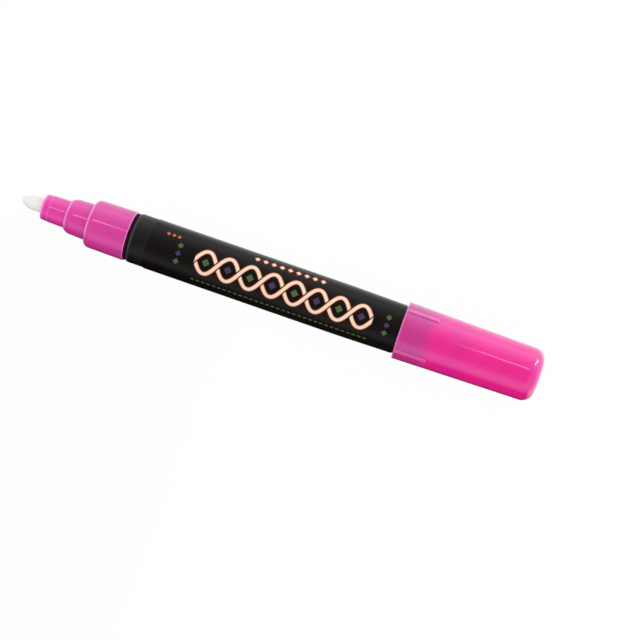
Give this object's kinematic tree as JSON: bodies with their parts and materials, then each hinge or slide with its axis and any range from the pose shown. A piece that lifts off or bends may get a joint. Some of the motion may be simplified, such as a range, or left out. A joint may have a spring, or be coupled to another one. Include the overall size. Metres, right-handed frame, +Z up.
{
  "type": "liquid chalk marker",
  "caption": "Liquid chalk marker: stepped nose, bullet felt nib on a sprung ink valve, wrapped barrel with a mixing ball inside, and a ribbed translucent cap posted on its tail.",
  "frame": {"origin": "on the resting surface, under the middle of the marker's whole length", "axes": "+X along the marker's axis from the nib to the closed end of the cap, +Z up, with the marker lying on its side"},
  "size_m": [0.1652, 0.0178, 0.0178],
  "materials": {
    "barrel_black": "moulded black polypropylene with a soft sheen",
    "label_film": "glossy black printed wrap film with a cream and orange ornament",
    "gasket_rubber": "matt black",
    "nose_pink": "satin pink moulded plastic",
    "nib_felt": "pressed white felt",
    "valve_plastic": "natural white moulded plastic",
    "seat_rubber": "soft grey",
    "spring_steel": "bright drawn wire",
    "ball_steel": "polished",
    "cap_pink": "glossy translucent pink moulded plastic"
  },
  "bodies": {
    "barrel": {"barrel": "barrel_black", "label": "label_film", "nose_gasket": "gasket_rubber", "nose": "nose_pink", "valve_housing": "valve_plastic", "valve_seat": "seat_rubber", "valve_spring": "spring_steel", "spring_retainer": "valve_plastic"},
    "nib": {"nib": "nib_felt", "valve_plunger": "valve_plastic"},
    "ball": {"mixing_ball": "ball_steel"},
    "cap": {"cap": "cap_pink"}
  },
  "joints": [
    {"name": "cap_slide", "type": "slide", "parent": "barrel", "child": "cap", "axis": [1, 0, 0], "range_m": [0, 0.04]},
    {"name": "nib_press", "type": "slide", "parent": "barrel", "child": "nib", "axis": [1, 0, 0], "range_m": [0, 0.002], "stiffness_N_per_m": 500, "springref_m": -0.004, "deforming": ["valve_spring"]},
    {"name": "ball_roll", "type": "slide", "parent": "barrel", "child": "ball", "axis": [1, 0, 0], "range_m": [0, 0.068]}
  ]
}
